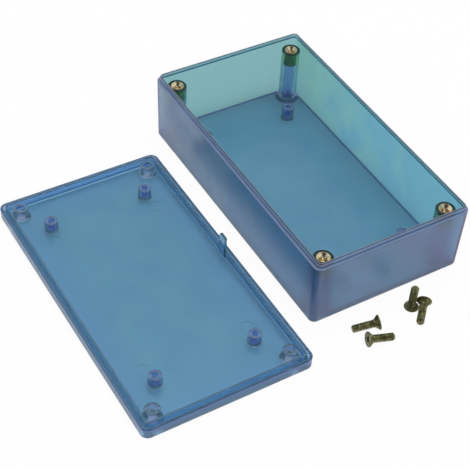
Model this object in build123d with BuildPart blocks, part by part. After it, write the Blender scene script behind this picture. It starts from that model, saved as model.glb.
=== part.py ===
from build123d import *
from math import atan2, cos, radians, sin, tan
import os

# Small two-piece moulded case, shown open: the box stands on its base, the lid lies beside it
# with its inside up, and the four lid screws are loose by the box's right-hand end: three lie
# down and one stands on its head.
# Lengths are in millimetres and angles in degrees. The origin is the centre of the box's
# underside, X runs along the long sides, Y along the short sides and Z up.

# Outline shared by box and lid where they meet
length = 112.0
width = 62.0
corner_radius = 2.8
least_inner_radius = 0.6
draft = 1.0

# Box walls and rim
box_height = 26.0
floor = 2.0
wall = 1.7
base_edge_radius = 1.3
floor_edge_radius = 0.5
ledge_width = 1.05
tongue_height = 2.0
rim_chamfer = 0.2

# Lid plate, skirt and rib
lid_height = 4.5
lid_plate = 2.0
groove_slack = 0.3
joint_clearance = 0.1
rib_thickness = 0.8
rib_rise = 0.9
lid_face_radius = 0.5
finger_width = 3.5
finger_height = 6.3
finger_thickness = 1.0
finger_setback = 0.4
finger_corner_radius = 0.5

# Threaded inserts in the corner posts
insert_diameter = 4.9
insert_length = 6.0
insert_thread_bore = 2.4
insert_mouth_diameter = 3.9
insert_mouth_depth = 0.8
insert_groove_depth = 0.4
insert_groove_width = 0.8
insert_band_length = 2.1
insert_clearance = 0.03

# Corner posts that hold the inserts
post_inset = 6.15
post_ring = 1.05
post_drop = 1.2
post_core_step = 0.6
post_core_stop = 1.0
post_foot_flare = 1.0

# Lid screws with a countersunk head and a cross recess
screw_length = 9.5
screw_diameter = 2.84
screw_head_diameter = 5.3
screw_head_rim = 0.25
screw_head_angle = 82.0
screw_tip_chamfer = 0.4
recess_span = 2.7
recess_slot = 0.75
recess_depth = 1.1

# Lid tubes that the screws pass through
tube_bore_clearance = 0.23
tube_wall = 0.95
tube_foot_flare = 0.6
countersink_clearance = 0.1

# Standoffs for a circuit board, on the box floor and on the lid
standoff_inset_x = 17.1
standoff_inset_y = 12.8
standoff_diameter = 4.8
box_standoff_height = 5.0
lid_standoff_height = 4.2
standoff_foot_flare = 0.3
pilot_hole_diameter = 2.2
pilot_hole_stop = 0.5

# Small moulding details
boss_chamfer = 0.2
tube_draft = 3.0
pin_mark_diameter = 5.0
pin_mark_depth = 0.15
pin_mark_shift_x = 6.4
pin_mark_shift_y = 1.3

# Where the lid and the loose screws are: the distance of a screw's head from the box's right-hand
# end, its y and, for one that lies down, its heading from head to tip
lid_x = 15.1
lid_gap = 8.1
lying_screws = {1: (10.9, -11.15, -105.6), 2: (15.4, -18.8, 76.7), 4: (10.2, 8.1, -44.3)}
standing_screws = {3: (8.55, 4.25)}

# Sizes that follow from the ones above
post_top = box_height - post_drop
insert_radius = insert_diameter / 2
insert_bore_radius = insert_thread_bore / 2
insert_groove_radius = insert_radius - insert_groove_depth
post_radius = insert_radius + post_ring
post_spacing_x = length - 2 * post_inset
post_spacing_y = width - 2 * post_inset
standoff_spacing_x = length - 2 * standoff_inset_x
standoff_spacing_y = width - 2 * standoff_inset_y
standoff_radius = standoff_diameter / 2
screw_radius = screw_diameter / 2
screw_head_radius = screw_head_diameter / 2
screw_cone_height = (screw_head_radius - screw_radius) / tan(radians(screw_head_angle / 2))
tube_bore_radius = screw_radius + tube_bore_clearance
tube_top = lid_height + post_drop
groove_floor = lid_height - tongue_height - groove_slack
groove_outer = ledge_width - joint_clearance
rib_outer = wall + joint_clearance
rib_inner = rib_outer + rib_thickness
rib_top = lid_height + rib_rise
rim_top = box_height + tongue_height
finger_tip = rib_top + finger_height
lid_y = -width - lid_gap
lid_plane = Plane((lid_x, lid_y, 0))
lid_face_plane = Plane(origin=(lid_x, lid_y, 0), x_dir=(1, 0, 0), z_dir=(0, 0, -1))
finger_y = lid_y + width / 2 - rib_outer - finger_setback
finger_plane = Plane(origin=(lid_x, finger_y, lid_plate), x_dir=(1, 0, 0), z_dir=(0, -1, 0))


# Rounded outline of the case, drawn a given distance inside the outer edge
def case_outline(inset):
    radius = max(corner_radius - inset, least_inner_radius)
    RectangleRounded(length - 2 * inset, width - 2 * inset, radius)


# The four places of the corner posts and of the board standoffs, round the case's centre
def post_places():
    return GridLocations(post_spacing_x, post_spacing_y, 2, 2)


def standoff_places():
    return GridLocations(standoff_spacing_x, standoff_spacing_y, 2, 2)


# Four faint round ejector marks beside the lid's standoffs
def pin_mark_places():
    spacing_x = standoff_spacing_x - 2 * pin_mark_shift_x
    spacing_y = standoff_spacing_y + 2 * pin_mark_shift_y
    return GridLocations(spacing_x, spacing_y, 2, 2)


# Round moulded boss that flares at its foot and is chamfered at its top, with its foot at z = 0
def moulded_boss(top_radius, height, foot_flare, taper=0):
    base_radius = top_radius + (height - foot_flare) * tan(radians(taper))
    with BuildPart() as boss:
        with BuildSketch(Plane.XZ):
            with BuildLine():
                Polyline(
                    (0, 0),
                    (base_radius + foot_flare, 0),
                    (base_radius, foot_flare),
                    (top_radius, height - boss_chamfer),
                    (top_radius - boss_chamfer, height),
                    (0, height),
                    close=True,
                )
            make_face()
        revolve(axis=Axis.Z)
    return boss.part


corner_post = moulded_boss(post_radius, post_top - floor, post_foot_flare)
box_standoff = moulded_boss(standoff_radius, box_standoff_height, standoff_foot_flare)
lid_standoff = moulded_boss(standoff_radius, lid_standoff_height, standoff_foot_flare)
lid_tube = moulded_boss(tube_bore_radius + tube_wall, tube_top - lid_plate, tube_foot_flare, tube_draft)


# Box: drafted shell, raised tongue inside the rim ledge, corner posts and board standoffs
with BuildPart() as box:
    with BuildSketch(Plane.XY.offset(box_height)):
        case_outline(0)
    extrude(amount=-box_height, taper=draft)
    fillet(box.faces().sort_by(Axis.Z)[0].edges(), radius=base_edge_radius)

    with BuildSketch(Plane.XY.offset(box_height)):
        case_outline(ledge_width)
    extrude(amount=tongue_height)

    with BuildSketch(Plane.XY.offset(rim_top)):
        case_outline(wall)
    extrude(amount=floor - rim_top, taper=draft, mode=Mode.SUBTRACT)
    fillet(box.faces().filter_by(Axis.Z).sort_by(Axis.Z)[1].edges(), radius=floor_edge_radius)
    chamfer(box.faces().sort_by(Axis.Z)[-1].edges(), length=rim_chamfer)

    with Locations((0, 0, floor)), post_places():
        add(corner_post)
    with Locations((0, 0, floor)), standoff_places():
        add(box_standoff)

    with Locations((0, 0, post_top)), post_places():
        CounterBoreHole(
            radius=insert_radius - post_core_step,
            counter_bore_radius=insert_radius + insert_clearance,
            counter_bore_depth=insert_length,
            depth=post_top - floor - post_core_stop,
        )
    with Locations((0, 0, floor + box_standoff_height)), standoff_places():
        Hole(radius=pilot_hole_diameter / 2, depth=box_standoff_height - pilot_hole_stop)
box.part.label = "box"


# Lid: plate with a skirt that stands on the box's ledge, a groove for the tongue and a rib
# that drops inside the wall, screw tubes that land on the posts, and one finger that runs up
# the inner face of the rib and on past it
with BuildPart() as lid:
    with BuildSketch(lid_plane.offset(lid_height)):
        case_outline(0)
    extrude(amount=-lid_height, taper=draft)
    fillet(lid.faces().sort_by(Axis.Z)[0].edges(), radius=lid_face_radius)

    with BuildSketch(lid_plane.offset(lid_height)):
        case_outline(groove_outer)
    extrude(amount=groove_floor - lid_height, mode=Mode.SUBTRACT)
    chamfer(lid.faces().sort_by(Axis.Z)[-1].edges(), length=rim_chamfer)

    with BuildSketch(lid_plane.offset(groove_floor)):
        case_outline(rib_outer)
    extrude(amount=rib_top - groove_floor)
    with BuildSketch(lid_plane.offset(rib_top)):
        case_outline(rib_inner)
    extrude(amount=lid_plate - rib_top, taper=draft, mode=Mode.SUBTRACT)
    chamfer(lid.faces().sort_by(Axis.Z)[-1].edges(), length=rim_chamfer)

    with BuildSketch(finger_plane) as finger:
        Rectangle(finger_width, finger_tip - lid_plate, align=(Align.CENTER, Align.MIN))
        fillet(finger.vertices().group_by(Axis.Z)[-1], radius=finger_corner_radius)
    extrude(amount=finger_thickness)

    with Locations(lid_plane.offset(lid_plate)), post_places():
        add(lid_tube)
    with Locations(lid_plane.offset(lid_plate)), standoff_places():
        add(lid_standoff)
    with Locations(lid_plane.offset(lid_plate)), pin_mark_places():
        Hole(radius=pin_mark_diameter / 2, depth=pin_mark_depth)

    with Locations(lid_face_plane), post_places():
        CounterSinkHole(
            radius=tube_bore_radius,
            counter_sink_radius=screw_head_radius + countersink_clearance,
            counter_sink_angle=screw_head_angle,
            depth=tube_top,
        )
    with Locations(lid_plane.offset(lid_plate + lid_standoff_height)), standoff_places():
        Hole(radius=pilot_hole_diameter / 2, depth=lid_standoff_height - pilot_hole_stop)
lid.part.label = "lid"


# Threaded insert with its flat top at z = 0: coned mouth and two bands with a groove between
with BuildPart() as insert:
    with BuildSketch(Plane.XZ):
        with BuildLine():
            Polyline(
                (insert_bore_radius, -insert_mouth_depth),
                (insert_mouth_diameter / 2, 0),
                (insert_radius, 0),
                (insert_radius, -insert_band_length),
                (insert_groove_radius, -insert_band_length),
                (insert_groove_radius, -insert_band_length - insert_groove_width),
                (insert_radius, -insert_band_length - insert_groove_width),
                (insert_radius, -insert_length),
                (insert_bore_radius, -insert_length),
                close=True,
            )
        make_face()
    revolve(axis=Axis.Z)

# One insert in the top of each post
insert_names = {
    "insert_front_left": (-1, -1),
    "insert_front_right": (1, -1),
    "insert_back_left": (-1, 1),
    "insert_back_right": (1, 1),
}
seated_inserts = []
for name, (side_x, side_y) in insert_names.items():
    with BuildPart() as seated_insert:
        with Locations((side_x * post_spacing_x / 2, side_y * post_spacing_y / 2, post_top)):
            add(insert.part)
    seated_insert.part.label = name
    seated_inserts.append(seated_insert.part)


# Lid screw with the top of its head at z = 0 and its tip up
with BuildPart() as screw:
    with BuildSketch(Plane.XZ):
        with BuildLine():
            Polyline(
                (0, 0),
                (screw_head_radius, 0),
                (screw_head_radius, screw_head_rim),
                (screw_radius, screw_head_rim + screw_cone_height),
                (screw_radius, screw_length - screw_tip_chamfer),
                (screw_radius - screw_tip_chamfer, screw_length),
                (0, screw_length),
                close=True,
            )
        make_face()
    revolve(axis=Axis.Z)
    with BuildSketch(Plane.XY):
        Rectangle(recess_span, recess_slot)
        Rectangle(recess_slot, recess_span)
    extrude(amount=recess_depth, mode=Mode.SUBTRACT)


# A screw that lies down rests on the edge of its head and the end of its shank, so it slopes
def lying_plane(gap, y, heading):
    tilt = atan2(screw_head_radius - screw_radius, screw_length - screw_tip_chamfer - screw_head_rim)
    head_height = screw_head_rim * sin(tilt) + screw_head_radius * cos(tilt)
    turn = radians(heading)
    along = (cos(turn) * cos(tilt), sin(turn) * cos(tilt), -sin(tilt))
    return Plane(origin=(length / 2 + gap, y, head_height), z_dir=along)


def standing_plane(gap, y):
    return Plane(origin=(length / 2 + gap, y, 0))


screw_planes = {number: lying_plane(*place) for number, place in lying_screws.items()}
screw_planes.update({number: standing_plane(*place) for number, place in standing_screws.items()})
loose_screws = []
for number, screw_plane in screw_planes.items():
    with BuildPart() as loose_screw:
        with Locations(screw_plane):
            add(screw.part)
    loose_screw.part.label = f"screw_{number}"
    loose_screws.append(loose_screw.part)


# One file for each piece
os.makedirs("parts", exist_ok=True)
for piece in [box.part, lid.part] + seated_inserts + loose_screws:
    export_step(piece, f"parts/{piece.label}.step")
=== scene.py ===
import math

import bmesh
import bpy
from mathutils import Matrix, Vector


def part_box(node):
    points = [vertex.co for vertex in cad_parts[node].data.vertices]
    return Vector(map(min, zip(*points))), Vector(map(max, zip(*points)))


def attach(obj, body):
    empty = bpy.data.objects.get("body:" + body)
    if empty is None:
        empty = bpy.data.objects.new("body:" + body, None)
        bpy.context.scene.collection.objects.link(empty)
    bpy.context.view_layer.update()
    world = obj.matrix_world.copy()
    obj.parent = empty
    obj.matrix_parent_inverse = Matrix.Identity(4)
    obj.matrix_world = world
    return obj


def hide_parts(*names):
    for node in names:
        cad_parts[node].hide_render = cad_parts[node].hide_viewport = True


# A small translucent blue case, open: the box stands on its base with brass inserts in its
# corner posts, the lid lies beside it inside up, and four dark plated screws are loose by them

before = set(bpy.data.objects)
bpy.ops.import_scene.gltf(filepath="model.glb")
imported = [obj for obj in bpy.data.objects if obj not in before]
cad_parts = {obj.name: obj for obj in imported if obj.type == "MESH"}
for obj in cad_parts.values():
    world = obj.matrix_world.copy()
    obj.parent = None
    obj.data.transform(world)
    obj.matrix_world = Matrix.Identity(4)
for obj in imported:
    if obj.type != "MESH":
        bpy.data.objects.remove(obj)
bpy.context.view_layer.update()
mm = 0.001
nearMm = 0.01  # what is closer than this counts as level
crispAngle = math.radians(38)  # an edge that turns more than this stays sharp
print("frame loaded")


def srgb(hexColour):  # sRGB hex to linear RGBA
    channels = [int(hexColour[i:i + 2], 16) / 255 for i in (1, 3, 5)]
    linear = [c / 12.92 if c <= 0.04045 else ((c + 0.055) / 1.055) ** 2.4 for c in channels]
    return (*linear, 1.0)


def addNode(tree, kind, settings=None, inputs=None):  # an input takes a value or a socket
    node = tree.nodes.new(kind)
    for name, value in (settings or {}).items():
        setattr(node, name, value)
    for name, value in (inputs or {}).items():
        if isinstance(value, bpy.types.NodeSocket):
            tree.links.new(value, node.inputs[name])
        else:
            node.inputs[name].default_value = value
    return node


def newMaterial(name):
    material = bpy.data.materials.new(name)
    material.use_nodes = True
    material.node_tree.nodes.clear()
    return material, material.node_tree


# The part that two masks share, or a pattern kept to one mask
def overlap(tree, first, second):
    return addNode(tree, "ShaderNodeMath", {"operation": "MULTIPLY"},
                   {0: first, 1: second}).outputs["Value"]


# 1 where a distance in metres lies between two limits, and by default past neither of them
def between(tree, distance, low=-1.0, high=1.0):
    above, below = [addNode(tree, "ShaderNodeMath", {"operation": operation},
                            {0: distance, 1: limit}).outputs["Value"]
                    for operation, limit in (("GREATER_THAN", low), ("LESS_THAN", high))]
    return overlap(tree, above, below)


# Lays one colour or number over another where a mask is 1. The node that mixes has sockets of
# its own for each: numbers go in at 2 and 3 and come out at 0, colours at 6, 7 and 2
def mixOver(tree, mask, over, under):
    kind, base, result = ("RGBA", 6, 2) if isinstance(over, tuple) else ("FLOAT", 2, 0)
    return addNode(tree, "ShaderNodeMix", {"data_type": kind},
                   {0: mask, base: under, base + 1: over}).outputs[result]


# Injection moulded translucent ABS. Its pigment lets greenish light through and throws a little
# violet blue back, so walls look teal, bosses blue and thick places dark green. The inside is
# moulded smooth with a faint flow waviness, the outside is finely grained and hazy in patches.
# Some zones also carry painted light and shade: the plate's hem, lighter on the box and darker on
# the lid, the dark band at the walls' foot, the posts' dark green tops and darker feet, the dark
# lines along the rim and the ends' own tint
caseLook = {
    # tint, share of light let through, roughness; where zones meet, the later one covers
    "zones": {
        "plate": ("#9ceef0", 0.95, 0.25),
        # painted light: the box's plate lighter near its walls, against the shade they cast under
        # the floor
        "hemShading": ("#a0f5ff", 0.95, 0.25),  # the plate near its edge
        "boss": ("#c4d0fc", 0.95, 0.12),  # all that stands up from the plate
        "standoff": ("#c0c8ff", 0.9, 0.12),
        "wall": ("#8cf8cc", 0.95, 0.2),  # inner face of the box's walls
        # painted shade: a dark band where the walls' inner face meets the floor
        "seamShade": ("#2c5078", 0.95, 0.2),  # where that face meets the floor
        "post": ("#dadcff", 0.97, 0.12),
        "collar": ("#c4e0c8", 0.96, 0.15),  # the post round its insert
        # painted shade: the post's top end dark green, for the shaded insert seen through it
        "ring": ("#4a7068", 0.9, 0.15),  # the post's top end
        # painted shade: a darker ring round the post's foot, where it meets the floor
        "flareShade": ("#9ca6f0", 0.93, 0.2),  # the post's wider foot
        "ledge": ("#a4b0dc", 0.5, 0.3),
        # painted shade: a dark line in the corner between ledge and tongue
        "creaseShade": ("#5c64b4", 0.95, 0.2),  # between ledge and tongue
        "tongue": ("#ccc4f4", 0.7, 0.3),
        # painted shade: a dark line along the tongue's edge
        "browShade": ("#5c64b4", 0.95, 0.2),  # the tongue's edge
        "top": ("#d8d2f0", 0.74, 0.3),
        "foot": ("#c6bcf4", 0.94, 0.36),
        # painted shade: a dark line along the top edge of the sides
        "lip": ("#5c64b4", 0.95, 0.3),  # top edge of the sides
        "side": ("#d0ccff", 0.78, 0.4),  # outer faces, milky
        "smudge": ("#8494ff", 0.97, 0.3),  # clearer patches in them
        # painted shade: the ends get their own tint for the different light on them
        "end": ("#c8b2f4", 0.86, 0.34),  # outer faces of the two ends
    },
    "lidZones": {  # where the lid differs, and the tubes that only it has
        # painted shade: the lid's plate darker and bluer near its edge
        "hemShading": ("#94def8", 0.95, 0.25),
        "boss": ("#b4d6f6", 0.95, 0.12),
        "tube": ("#d4dcff", 0.95, 0.12),
        "side": ("#a0b6f6", 0.88, 0.3),
        "smudge": ("#98b0fa", 0.93, 0.3),
        "end": ("#a0b6f6", 0.88, 0.3),
    },
    "cloudTint": "#80d2e8",
    "gloss": "#d0deff",
    "depthTint": "#ccf1e2",
    "depthPerMetre": 250.0,
    "ior": 1.53,
    # heights of the zones
    "footMm": 1.35,
    "floorMm": 2.02,  # just over the floor
    "bossFootMm": 2.3,
    "seamTopMm": 2.6,
    "flareTopMm": 3.2,
    "postZonesMm": {"post": 3.0, "collar": 19.2, "ring": 24.5},  # where each begins
    "rimMm": {"ledge": (25.95, 26.05), "creaseShade": (26.05, 26.45), "tongue": (26.45, 27.75),
              "browShade": (27.75, 27.97), "top": (27.97, 30)},
    "lipMm": {"box": (25.65, 25.95), "lid": (4.25, 4.48)},
    # how far inside the outline they lie
    "cornerMm": 2.8,
    "skinMm": 0.75,  # the sides end here, outside the tongue
    "wallFaceMm": (1.6, 2.25),  # with the draft, the wall's inner face is between these
    "seamWidthMm": 2.7,
    "hemMm": (14.0, 2.5),  # where the plate's tint begins and ends to change
    # places and radii of what is round
    "postInsetMm": 6.15,
    "postFaceMm": 3.65,
    "flareMm": 4.5,
    "standoffMm": (38.9, 18.2),  # from the middle
    "standoffReachMm": 3.0,
    # patterns
    "flowMm": 9.0,
    "flowDepthMm": 0.02,
    "smudgeMm": 13.0,
    "smudgeSpan": (0.1, 0.58),  # pattern values where a patch begins and ends to clear
    "smudgeLean": 0.35,  # the left end is milky, the rest clearer
    "grainMm": 0.45,  # the real grain is about 0.1 mm, too fine to show
    "grainDepthMm": 0.004,
}


# Where a point of the box or the lid lies. Most of it is measured in one quarter of the outline,
# because the four corners, posts and standoffs are alike
def measureCase(tree, look, node):
    low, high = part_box(node)
    middle = [(low[k] + high[k]) / 2 for k in (0, 1)]
    half = [(high[k] - low[k]) / 2 for k in (0, 1)]
    straight = [length - look["cornerMm"] * mm for length in half]
    post = [length - look["postInsetMm"] * mm for length in half]
    standoff = [length * mm for length in look["standoffMm"]]

    spot = addNode(tree, "ShaderNodeTexCoord").outputs["Object"]
    centred = addNode(tree, "ShaderNodeMapping", None,
                      {"Location": (-middle[0], -middle[1], 0), "Vector": spot}).outputs["Vector"]
    flat = addNode(tree, "ShaderNodeVectorMath", {"operation": "MULTIPLY"},
                   {0: centred, 1: (1, 1, 0)}).outputs["Vector"]
    quarter = addNode(tree, "ShaderNodeVectorMath", {"operation": "ABSOLUTE"},
                      {0: flat}).outputs["Vector"]
    past = addNode(tree, "ShaderNodeVectorMath", {"operation": "SUBTRACT"},
                   {0: quarter, 1: (*straight, 0)}).outputs["Vector"]
    corner = addNode(tree, "ShaderNodeVectorMath", {"operation": "MAXIMUM"},
                     {0: past, 1: (0, 0, 0)}).outputs["Vector"]
    inset = addNode(tree, "ShaderNodeVectorMath", {"operation": "SUBTRACT"},
                    {0: (*half, 0), 1: quarter}).outputs["Vector"]
    heights, lengths, insets = [addNode(tree, "ShaderNodeSeparateXYZ", None, {"Vector": way}).outputs
                                for way in (spot, centred, inset)]
    fromPost, fromStandoff = [addNode(tree, "ShaderNodeVectorMath", {"operation": "DISTANCE"},
                                      {0: quarter, 1: (*axis, 0)}).outputs["Value"]
                              for axis in (post, standoff)]
    return {
        "spot": spot,
        "height": heights["Z"],
        "fromMiddle": lengths["X"],
        "halfLength": half[0],
        "fromEnd": insets["X"],
        "fromEdge": addNode(tree, "ShaderNodeMath", {"operation": "MINIMUM"},
                            {0: insets["X"], 1: insets["Y"]}).outputs["Value"],
        # grows towards the outline, where it is the corner radius
        "reach": addNode(tree, "ShaderNodeVectorMath", {"operation": "LENGTH"},
                         {0: corner}).outputs["Value"],
        "fromPost": fromPost,
        "fromStandoff": fromStandoff,
    }


# The zones that both mouldings have inside: the plate's hem, painted lighter on the box against the
# shade of its walls and painted darker on the lid, and all that stands up from it
def maskInside(tree, look, at):
    begin, end = [inset * mm for inset in look["hemMm"]]
    hemShading = addNode(tree, "ShaderNodeMapRange", None,
                  {"From Min": begin, "From Max": end, "Value": at["fromEdge"]})
    overFloor = between(tree, at["height"], low=look["floorMm"] * mm)
    nearStandoff = between(tree, at["fromStandoff"], high=look["standoffReachMm"] * mm)
    return {
        "hemShading": hemShading.outputs["Result"],
        "boss": between(tree, at["height"], low=look["bossFootMm"] * mm),
        "standoff": overlap(tree, overFloor, nearStandoff),
    }


# The box's walls, posts and rim, with painted shade in the seam at the walls' foot, on the posts'
# top ends and feet, and in the dark lines along the rim
def maskBox(tree, look, at, nearPost):
    height, floor = at["height"], look["floorMm"] * mm
    outer, inner = [(look["cornerMm"] - inset) * mm for inset in look["wallFaceMm"]]
    masks = {"wall": between(tree, at["reach"], inner, outer)}
    nearWall = between(tree, at["reach"], low=(look["cornerMm"] - look["seamWidthMm"]) * mm)
    masks["seamShade"] = overlap(tree, nearWall, between(tree, height, floor, look["seamTopMm"] * mm))
    for zone, foot in look["postZonesMm"].items():
        masks[zone] = overlap(tree, nearPost, between(tree, height, low=foot * mm))
    masks["flareShade"] = overlap(tree, between(tree, at["fromPost"], high=look["flareMm"] * mm),
                             between(tree, height, floor, look["flareTopMm"] * mm))
    onRim = between(tree, at["reach"], low=outer)
    for zone, (foot, top) in look["rimMm"].items():
        masks[zone] = overlap(tree, onRim, between(tree, height, foot * mm, top * mm))
    return masks


# The outer faces, from the foot up to the lip. The lip is a painted dark line, and the ends get a
# painted change of shade from the sides
def maskOutside(tree, look, node, at):
    smudge = addNode(tree, "ShaderNodeTexNoise", None,
                     {"Scale": 1 / (look["smudgeMm"] * mm), "Detail": 1.0, "Vector": at["spot"]})
    lean = addNode(tree, "ShaderNodeMath", {"operation": "MULTIPLY"},
                   {0: at["fromMiddle"], 1: look["smudgeLean"] / at["halfLength"]})
    leaning = addNode(tree, "ShaderNodeMath", {"operation": "ADD"},
                      {0: smudge.outputs["Fac"], 1: lean.outputs["Value"]})
    milky, clear = look["smudgeSpan"]
    smudged = addNode(tree, "ShaderNodeMapRange", None,
                      {"From Min": milky, "From Max": clear, "Value": leaning.outputs["Value"]})
    ended = addNode(tree, "ShaderNodeMapRange", None,
                    {"From Min": look["cornerMm"] * mm, "From Max": 0.0, "Value": at["fromEnd"]})
    onSkin = between(tree, at["reach"], low=(look["cornerMm"] - look["skinMm"]) * mm)
    lipFoot, lipTop = [edge * mm for edge in look["lipMm"][node]]
    side = overlap(tree, onSkin, between(tree, at["height"], high=lipFoot))
    return {
        "foot": between(tree, at["height"], high=look["footMm"] * mm),
        "lip": overlap(tree, onSkin, between(tree, at["height"], lipFoot, lipTop)),
        "side": side,
        "smudge": overlap(tree, side, smudged.outputs["Result"]),
        "end": overlap(tree, side, ended.outputs["Result"]),
    }


def makeCasePlastic(look, node):
    material, tree = newMaterial("mouldedTranslucentAbs" + node.capitalize())
    at = measureCase(tree, look, node)
    flow = addNode(tree, "ShaderNodeTexNoise", None,
                   {"Scale": 1 / (look["flowMm"] * mm), "Detail": 2.0, "Roughness": 0.4,
                    "Vector": at["spot"]}).outputs["Fac"]
    grain = addNode(tree, "ShaderNodeTexNoise", None,
                    {"Scale": 1 / (look["grainMm"] * mm), "Detail": 1.0,
                     "Vector": at["spot"]}).outputs["Fac"]

    masks = maskInside(tree, look, at)
    nearPost = between(tree, at["fromPost"], high=look["postFaceMm"] * mm)
    zones = dict(look["zones"])
    if node == "lid":
        zones.update(look["lidZones"])
        masks["tube"] = overlap(tree, masks["boss"], nearPost)
    else:
        masks.update(maskBox(tree, look, at, nearPost))
    masks.update(maskOutside(tree, look, node, at))

    plate, clear, rough = zones["plate"]
    tint = mixOver(tree, flow, srgb(look["cloudTint"]), srgb(plate))
    for zone, mask in masks.items():
        colour, share, roughness = zones[zone]
        tint = mixOver(tree, mask, srgb(colour), tint)
        clear = mixOver(tree, mask, share, clear)
        rough = mixOver(tree, mask, roughness, rough)

    outside = addNode(tree, "ShaderNodeMath", {"operation": "MAXIMUM"},
                      {0: masks["side"], 1: masks["foot"]}).outputs["Value"]
    depths = ((flow, look["flowDepthMm"]), (overlap(tree, grain, outside), look["grainDepthMm"]))
    waves, grit = [addNode(tree, "ShaderNodeMath", {"operation": "MULTIPLY"},
                           {0: pattern, 1: depthMm}).outputs["Value"]
                   for pattern, depthMm in depths]
    relief = addNode(tree, "ShaderNodeMath", {"operation": "ADD"}, {0: waves, 1: grit})
    bump = addNode(tree, "ShaderNodeBump", None,
                   {"Strength": 1.0, "Distance": mm, "Height": relief.outputs["Value"]})
    surface = addNode(tree, "ShaderNodeBsdfPrincipled", None,
                      {"IOR": look["ior"], "Specular Tint": srgb(look["gloss"]),
                       "Base Color": tint, "Roughness": rough, "Transmission Weight": clear,
                       "Normal": bump.outputs["Normal"]})
    depth = addNode(tree, "ShaderNodeVolumeAbsorption", None,
                    {"Color": srgb(look["depthTint"]), "Density": look["depthPerMetre"]})
    addNode(tree, "ShaderNodeOutputMaterial", None,
            {"Surface": surface.outputs["BSDF"], "Volume": depth.outputs["Volume"]})
    return material


for node in ("box", "lid"):
    plastic = makeCasePlastic(caseLook, node)
    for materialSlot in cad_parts[node].material_slots:
        materialSlot.material = plastic
print("case plastic made")


def ridge(turns):  # 1 on a crest, 0 in a valley
    return abs((turns % 1) * 2 - 1)


def roundTurns(vert):  # how far round the axis, in turns
    return math.atan2(vert.co.y, vert.co.x) / (2 * math.pi)


def turnedSpot(vert):  # distance from the axis and height, in mm
    return vert.co.xy.length / mm, vert.co.z / mm


def setRadius(vert, radiusMm):
    vert.co.xy = vert.co.xy.normalized() * (radiusMm * mm)


# A turned profile of (radius, height) points in mm, some of its edges cut finer, spun round Z
def spinProfile(points, fineEdges, steps, closed):
    mesh = bmesh.new()
    verts = [mesh.verts.new((radius * mm, 0, height * mm)) for radius, height in points]
    pairs = list(zip(verts, verts[1:] + verts[:1] if closed else verts[1:]))
    edges = [mesh.edges.new(pair) for pair in pairs]
    for index, cuts in fineEdges.items():
        bmesh.ops.subdivide_edges(mesh, edges=[edges[index]], cuts=cuts)
    bmesh.ops.spin(mesh, geom=mesh.verts[:] + mesh.edges[:], cent=(0, 0, 0), axis=(0, 0, 1),
                   angle=2 * math.pi, steps=steps, use_merge=True)
    bmesh.ops.remove_doubles(mesh, verts=mesh.verts, dist=0.001 * mm)
    return mesh


def setStops(ramp, stops):  # a colour ramp's places and colours, from low to high
    ends = ramp.color_ramp.elements
    for end, (position, colour) in zip(ends, (stops[0], stops[-1])):
        end.position = position
        end.color = srgb(colour)
    for position, colour in stops[1:-1]:
        ramp.color_ramp.elements.new(position).color = srgb(colour)


def addPiece(mesh, name, place, material, node):
    data = bpy.data.meshes.new(name)
    mesh.to_mesh(data)
    data.transform(place)
    data.shade_smooth()
    data.set_sharp_from_angle(angle=crispAngle)
    data.materials.append(material)
    piece = bpy.data.objects.new(name, data)
    bpy.context.scene.collection.objects.link(piece)
    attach(piece, "root")
    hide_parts(node)


# Free-cutting brass, turned on a lathe and knurled: pale gold with fine rings where the tool
# cut. Painted shade makes the knurls a duller brown gold, and painted light makes the bore pale
# cream
insertLook = {
    "stops": ((0.3, "#dcc088"), (0.52, "#fff0cf")),  # dull to bright
    # painted light: the bore pale cream deep into the hole
    "boreLightTint": "#e6dcc4",
    # painted shade: the knurls a duller brown gold
    "knurlShadeTint": "#d0b878",
    "boreTintMm": 1.3,  # from the axis, where the bore's tint ends
    "knurlTintMm": 2.33,  # and where the knurls' begins
    "roughness": (0.08, 0.27),
    "cloudMm": 0.9,
    "ringMm": 0.16,
    "ringWander": 0.6,
    "ringDepthMm": 0.006,
    # radii, with heights from the top
    "lengthMm": 6.0,
    "boreMm": 1.2,
    "mouthMm": 2.15,
    "mouthDepthMm": 1.0,
    "topMm": (2.2, 2.3),  # the flat ring round the mouth
    "bandMm": 2.43,
    "bandsMm": ((-0.12, -2.05), (-2.95, -5.1)),  # top and foot of each
    "grooveMm": 2.05,
    "grooveSlopeMm": 0.12,
    "endMm": (2.18, 2.12),  # the plain end, and its flat face
    "chamferMm": 0.15,
    "edgeMm": 0.05,
    "threadDepthMm": 0.2,
    "threadPitchMm": 0.6,
    "threadCuts": 41,
    "knurlDepthMm": 0.2,
    "knurlTeeth": 26,
    "knurlLean": 0.11,  # turns of lean for each mm of height
    "knurlCuts": 7,
    "steps": 104,
}


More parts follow.
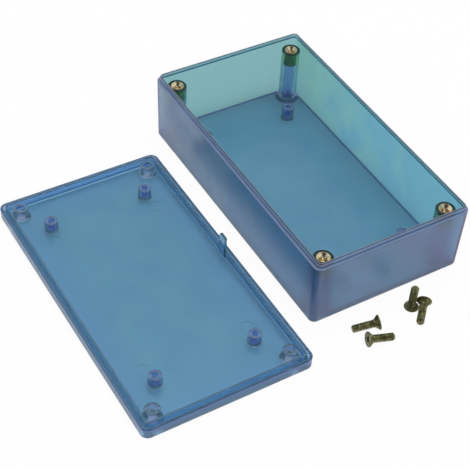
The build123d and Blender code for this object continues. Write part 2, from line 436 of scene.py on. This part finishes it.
def makeInsertBrass(look):
    material, tree = newMaterial("turnedBrass")
    spot = addNode(tree, "ShaderNodeTexCoord").outputs["Object"]
    cloud = addNode(tree, "ShaderNodeTexNoise", None,
                    {"Scale": 1 / (look["cloudMm"] * mm), "Detail": 3.0, "Vector": spot})
    colour = addNode(tree, "ShaderNodeValToRGB", None, {"Fac": cloud.outputs["Fac"]})
    setStops(colour, look["stops"])

    # all four inserts are measured as the back right one, in the quarter where x and y grow
    low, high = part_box("insert_back_right")
    axis = ((low[0] + high[0]) / 2, (low[1] + high[1]) / 2, 0)
    quarter = addNode(tree, "ShaderNodeVectorMath", {"operation": "ABSOLUTE"}, {0: spot})
    flat = addNode(tree, "ShaderNodeVectorMath", {"operation": "MULTIPLY"},
                   {0: quarter.outputs["Vector"], 1: (1, 1, 0)})
    fromAxis = addNode(tree, "ShaderNodeVectorMath", {"operation": "DISTANCE"},
                       {0: flat.outputs["Vector"], 1: axis}).outputs["Value"]
    # painted light in the bore and painted shade on the knurls
    inBore = between(tree, fromAxis, high=look["boreTintMm"] * mm)
    onKnurl = between(tree, fromAxis, low=look["knurlTintMm"] * mm)
    tint = mixOver(tree, inBore, srgb(look["boreLightTint"]), colour.outputs["Color"])
    tint = mixOver(tree, onKnurl, srgb(look["knurlShadeTint"]), tint)

    # a wave's scale of 1 makes 20 bands in 2 pi units
    rings = addNode(tree, "ShaderNodeTexWave", {"bands_direction": "Z"},
                    {"Scale": 2 * math.pi / (20 * look["ringMm"] * mm),
                     "Distortion": look["ringWander"], "Vector": spot}).outputs["Fac"]
    smooth, dull = look["roughness"]
    rough = addNode(tree, "ShaderNodeMapRange", None,
                    {"To Min": smooth, "To Max": dull, "Value": rings})
    bump = addNode(tree, "ShaderNodeBump", None,
                   {"Strength": 0.5, "Distance": look["ringDepthMm"] * mm, "Height": rings})
    surface = addNode(tree, "ShaderNodeBsdfPrincipled", None,
                      {"Metallic": 1.0, "Base Color": tint, "Roughness": rough.outputs["Result"],
                       "Normal": bump.outputs["Normal"]})
    addNode(tree, "ShaderNodeOutputMaterial", None, {"Surface": surface.outputs["BSDF"]})
    return material


def makeInsert(look):  # top face at 0, foot down
    bore, band, groove = look["boreMm"], look["bandMm"], look["grooveMm"]
    (upperTop, upperFoot), (lowerTop, lowerFoot) = look["bandsMm"]
    slope, chamfer, edge = look["grooveSlopeMm"], look["chamferMm"], look["edgeMm"]
    topInner, topOuter = look["topMm"]
    end, endFace = look["endMm"]
    foot = -look["lengthMm"]
    threadTop, threadFoot = -look["mouthDepthMm"], foot + chamfer
    profile = [(bore, threadTop), (look["mouthMm"], -edge), (topInner, 0), (topOuter, 0),
               (band, upperTop), (band, upperFoot), (groove, upperFoot - slope),
               (groove, lowerTop + slope), (band, lowerTop), (band, lowerFoot),
               (end, lowerFoot - chamfer), (end, foot + edge), (endFace, foot),
               (bore + chamfer, foot), (bore, threadFoot)]
    fineEdges = {4: look["knurlCuts"], 8: look["knurlCuts"], 14: look["threadCuts"]}
    mesh = spinProfile(profile, fineEdges, look["steps"], True)
    for vert in mesh.verts:
        radius, height = turnedSpot(vert)
        if radius > band - nearMm and lowerFoot + nearMm < height < upperTop - nearMm:
            way = 1 if height > lowerTop + nearMm else -1  # the upper band leans left
            tooth = ridge((roundTurns(vert) + look["knurlLean"] * height * way) * look["knurlTeeth"])
            setRadius(vert, band - look["knurlDepthMm"] * (1 - tooth))
        elif radius < bore + nearMm and threadFoot + nearMm < height < threadTop - nearMm:
            valley = ridge(roundTurns(vert) + height / look["threadPitchMm"])
            setRadius(vert, bore + look["threadDepthMm"] * valley)
    bmesh.ops.recalc_face_normals(mesh, faces=mesh.faces)
    return mesh


insertBrass = makeInsertBrass(insertLook)
insertMesh = makeInsert(insertLook)
for corner in ("front_left", "front_right", "back_left", "back_right"):
    low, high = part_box("insert_" + corner)
    top = ((low[0] + high[0]) / 2, (low[1] + high[1]) / 2, high[2])
    addPiece(insertMesh, "knurledInsert_" + corner, Matrix.Translation(top), insertBrass,
             "insert_" + corner)
insertMesh.free()
print("knurled inserts made")


# Steel machine screws, rolled thread, zinc plated with a dark olive passivation: dull brownish
# green and patchy
screwLook = {
    "stops": ((0.34, "#434228"), (0.5, "#6b6a46"), (0.68, "#969468")),  # dark to pale
    "roughness": (0.26, 0.54),
    "patchMm": 1.3,
    "speckMm": 0.35,
    "speckDepthMm": 0.02,
    "headMm": 2.65,
    "headAngle": 82.0,
    "rimMm": 0.25,
    "rimBevelMm": 0.06,
    "neckMm": 0.3,  # plain, between head and thread
    "shankMm": 1.42,
    "lengthMm": 9.5,
    "tipMm": 0.4,
    "threadPitchMm": 0.6,
    "threadDepthMm": 0.24,
    "threadCuts": 59,
    "recessSpanMm": 2.7,
    "recessSlotMm": 0.75,
    "recessDepthMm": 1.1,
    "recessTaper": 0.5,  # size of its floor against its mouth
    "steps": 40,
    # x, y and heading from head to tip, where the loose screws of the CAD model lie
    "lying": {"screw_1": (66.9, -11.15, -105.6), "screw_2": (71.4, -18.8, 76.7),
              "screw_4": (66.2, 8.1, -44.3)},
    "standing": {"screw_3": (64.55, 4.25)},  # x and y, on its head
}


def makeScrewPlating(look):
    material, tree = newMaterial("olivePassivatedSteel")
    spot = addNode(tree, "ShaderNodeTexCoord").outputs["Object"]
    patch = addNode(tree, "ShaderNodeTexNoise", None,
                    {"Scale": 1 / (look["patchMm"] * mm), "Detail": 4.0, "Roughness": 0.6,
                     "Vector": spot})
    colour = addNode(tree, "ShaderNodeValToRGB", None, {"Fac": patch.outputs["Fac"]})
    setStops(colour, look["stops"])
    speck = addNode(tree, "ShaderNodeTexNoise", None,
                    {"Scale": 1 / (look["speckMm"] * mm), "Detail": 2.0,
                     "Vector": spot}).outputs["Fac"]
    smooth, dull = look["roughness"]
    rough = addNode(tree, "ShaderNodeMapRange", None,
                    {"To Min": smooth, "To Max": dull, "Value": speck})
    bump = addNode(tree, "ShaderNodeBump", None,
                   {"Strength": 0.6, "Distance": look["speckDepthMm"] * mm, "Height": speck})
    surface = addNode(tree, "ShaderNodeBsdfPrincipled", None,
                      {"Metallic": 0.8, "Base Color": colour.outputs["Color"],
                       "Roughness": rough.outputs["Result"], "Normal": bump.outputs["Normal"]})
    addNode(tree, "ShaderNodeOutputMaterial", None, {"Surface": surface.outputs["BSDF"]})
    return material


# Closes the head's top round a cross, and sinks the cross with tapering walls
def sinkRecess(mesh, look):
    topRing = [edge for edge in mesh.edges
               if edge.is_boundary and all(abs(vert.co.z) < nearMm * mm for vert in edge.verts)]
    arm, slot, taper = look["recessSpanMm"] / 2, look["recessSlotMm"] / 2, look["recessTaper"]
    cross = []
    for turn in range(4):
        spin = Matrix.Rotation(turn * math.pi / 2, 3, "Z")
        cross += [mesh.verts.new(spin @ Vector(spot) * mm)
                  for spot in ((arm, -slot, 0), (arm, slot, 0), (slot, slot, 0))]
    mouth = [mesh.edges.new(pair) for pair in zip(cross, cross[1:] + cross[:1])]
    bmesh.ops.triangle_fill(mesh, edges=topRing + mouth, use_beauty=True)
    sunk = bmesh.ops.extrude_edge_only(mesh, edges=mouth)["geom"]
    floorVerts = [item for item in sunk if isinstance(item, bmesh.types.BMVert)]
    floorEdges = [item for item in sunk if isinstance(item, bmesh.types.BMEdge)
                  and all(vert in floorVerts for vert in item.verts)]
    bmesh.ops.scale(mesh, verts=floorVerts, vec=(taper, taper, 1))
    bmesh.ops.translate(mesh, verts=floorVerts, vec=(0, 0, look["recessDepthMm"] * mm))
    bmesh.ops.contextual_create(mesh, geom=floorEdges)


def makeScrew(look):  # head's top at 0 and tip up, as it stands on its head
    head, shank, rim = look["headMm"], look["shankMm"], look["rimMm"]
    neck = rim + (head - shank) / math.tan(math.radians(look["headAngle"] / 2))
    threadFoot, tip = neck + look["neckMm"], look["lengthMm"] - look["tipMm"]
    profile = [(head, 0), (head, rim), (shank, neck), (shank, threadFoot), (shank, tip),
               (shank - look["tipMm"], look["lengthMm"]), (0, look["lengthMm"])]
    mesh = spinProfile(profile, {3: look["threadCuts"]}, look["steps"], False)
    for vert in mesh.verts:
        radius, height = turnedSpot(vert)
        if abs(radius - shank) < nearMm and height > threadFoot + nearMm:
            crest = ridge(roundTurns(vert) - height / look["threadPitchMm"])
            setRadius(vert, shank - look["threadDepthMm"] * (1 - crest))
    sinkRecess(mesh, look)
    rimEdges = [edge for edge in mesh.edges
                if all(abs(turnedSpot(vert)[0] - head) < nearMm for vert in edge.verts)
                and abs(edge.verts[0].co.z - edge.verts[1].co.z) < nearMm * mm]
    bmesh.ops.bevel(mesh, geom=rimEdges, offset=look["rimBevelMm"] * mm, affect="EDGES",
                    segments=2, profile=0.5, material=-1)
    bmesh.ops.recalc_face_normals(mesh, faces=mesh.faces)
    return mesh


# A screw that lies down rests on the edge of its head and the end of its shank, so it slopes
def lyingPlace(look, x, y, heading):
    tilt = math.atan2(look["headMm"] - look["shankMm"],
                      look["lengthMm"] - look["tipMm"] - look["rimMm"])
    headHeight = look["rimMm"] * math.sin(tilt) + look["headMm"] * math.cos(tilt)
    turn = math.radians(heading)
    along = Vector((math.cos(turn) * math.cos(tilt), math.sin(turn) * math.cos(tilt),
                    -math.sin(tilt)))
    return (Matrix.Translation(Vector((x, y, headHeight)) * mm)
            @ along.to_track_quat("Z", "Y").to_matrix().to_4x4())


screwPlating = makeScrewPlating(screwLook)
screwMesh = makeScrew(screwLook)
screwPlaces = {node: lyingPlace(screwLook, *spot) for node, spot in screwLook["lying"].items()}
for node, (x, y) in screwLook["standing"].items():
    screwPlaces[node] = Matrix.Translation(Vector((x, y, 0)) * mm)
for node, place in screwPlaces.items():
    addPiece(screwMesh, "lidScrew_" + node[-1], place, screwPlating, node)
screwMesh.free()
print("loose screws made")


# Plain white table, lit from a soft dome with one large window lamp
studioLook = {
    "floor": "#f4f4f4",
    "floorSize": 6.0,
    "gapMm": 0.1,  # a hair under the part, so that light gets between them
    "cameraGlow": 0.95,
    "clearGlow": 0.1,
    "domeColour": "#ffffff",
    "domeStrength": 0.66,
    "roomSide": (0.49, -0.48, 0.73),  # direction of the dark side of the room
    "roomSpan": (0.7, 0.95),  # cosines of the angle to it, where the dome starts and ends to darken
    "roomStrength": 0.04,
    "windowPower": 9.0,
    "windowSize": 0.8,
    "windowPlace": (-0.05, 0.1, 1.2),
}


def makeTable(look):
    material, tree = newMaterial("whiteTable")
    rays = addNode(tree, "ShaderNodeLightPath").outputs
    matt = addNode(tree, "ShaderNodeBsdfDiffuse", None, {"Color": srgb(look["floor"])})
    glow = addNode(tree, "ShaderNodeEmission", None, {"Color": (1, 1, 1, 1), "Strength": 1.0})
    direct = addNode(tree, "ShaderNodeMath", {"operation": "MULTIPLY"},
                     {0: rays["Is Camera Ray"], 1: look["cameraGlow"]})
    mirrored = addNode(tree, "ShaderNodeMath", {"operation": "MULTIPLY_ADD"},
                       {0: rays["Is Glossy Ray"], 1: look["cameraGlow"], 2: direct.outputs["Value"]})
    # a ray bent by clear plastic counts as glossy too, so most of that glow is taken off again
    through = addNode(tree, "ShaderNodeMath", {"operation": "MULTIPLY_ADD", "use_clamp": True},
                      {0: rays["Is Transmission Ray"], 1: look["clearGlow"] - look["cameraGlow"],
                       2: mirrored.outputs["Value"]})
    surface = addNode(tree, "ShaderNodeMixShader", None,
                      {"Fac": through.outputs["Value"], 1: matt.outputs["BSDF"],
                       2: glow.outputs["Emission"]})
    addNode(tree, "ShaderNodeOutputMaterial", None, {"Surface": surface.outputs["Shader"]})

    table = bmesh.new()
    bmesh.ops.create_grid(table, x_segments=1, y_segments=1, size=look["floorSize"] / 2)
    bmesh.ops.translate(table, verts=table.verts, vec=(0, 0, -look["gapMm"] * mm))
    mesh = bpy.data.meshes.new("tableTop")
    table.to_mesh(mesh)
    table.free()
    mesh.materials.append(material)
    floor = bpy.data.objects.new("tableTop", mesh)
    bpy.context.scene.collection.objects.link(floor)


def makeDome(look):
    world = bpy.data.worlds.new("softDome")
    world.use_nodes = True
    tree = world.node_tree
    tree.nodes.clear()
    way = addNode(tree, "ShaderNodeTexCoord").outputs["Generated"]
    toRoom = addNode(tree, "ShaderNodeVectorMath", {"operation": "DOT_PRODUCT"},
                     {0: way, 1: look["roomSide"]})
    begin, end = look["roomSpan"]
    light = addNode(tree, "ShaderNodeMapRange", None,
                    {"From Min": begin, "From Max": end, "To Min": look["domeStrength"],
                     "To Max": look["roomStrength"], "Value": toRoom.outputs["Value"]})
    sky = addNode(tree, "ShaderNodeBackground", None,
                  {"Color": srgb(look["domeColour"]), "Strength": light.outputs["Result"]})
    addNode(tree, "ShaderNodeOutputWorld", None, {"Surface": sky.outputs["Background"]})
    bpy.context.scene.world = world


def makeWindow(look):
    lamp = bpy.data.lights.new("window", "AREA")
    lamp.size = look["windowSize"]
    lamp.energy = look["windowPower"]
    window = bpy.data.objects.new("window", lamp)
    window.location = look["windowPlace"]
    window.rotation_euler = (-Vector(look["windowPlace"])).to_track_quat("-Z", "Y").to_euler()
    bpy.context.scene.collection.objects.link(window)


makeTable(studioLook)
makeDome(studioLook)
makeWindow(studioLook)
print("studio made")


# Camera worked out from the straight edges of the box and the lid in the picture
pictureLook = {
    "placeMm": (273.24, -202.18, 313.84),
    "right": (0.519, 0.85222, 0.06596),
    "down": (0.63558, -0.33316, -0.69645),
    "focalPx": 1252.2,
    "centrePx": (273.67, 256.3),
    "widthPx": 470.0,
    "sensorMm": 36.0,
}


def makeCamera(look):
    lens = bpy.data.cameras.new("pictureCamera")
    lens.sensor_width = look["sensorMm"]
    lens.lens = look["focalPx"] * look["sensorMm"] / look["widthPx"]
    lens.shift_x = (look["widthPx"] / 2 - look["centrePx"][0]) / look["widthPx"]
    lens.shift_y = (look["centrePx"][1] - look["widthPx"] / 2) / look["widthPx"]
    lens.clip_start = 0.01
    camera = bpy.data.objects.new("pictureCamera", lens)
    right = Vector(look["right"]).normalized()
    up = -Vector(look["down"])
    up = (up - up.dot(right) * right).normalized()
    back = right.cross(up)
    turn = Matrix((right, up, back)).transposed().to_4x4()
    camera.matrix_world = Matrix.Translation(Vector(look["placeMm"]) * mm) @ turn
    bpy.context.scene.collection.objects.link(camera)
    bpy.context.scene.camera = camera


makeCamera(pictureLook)
bpy.context.scene.view_settings.view_transform = "Standard"
print("camera made")
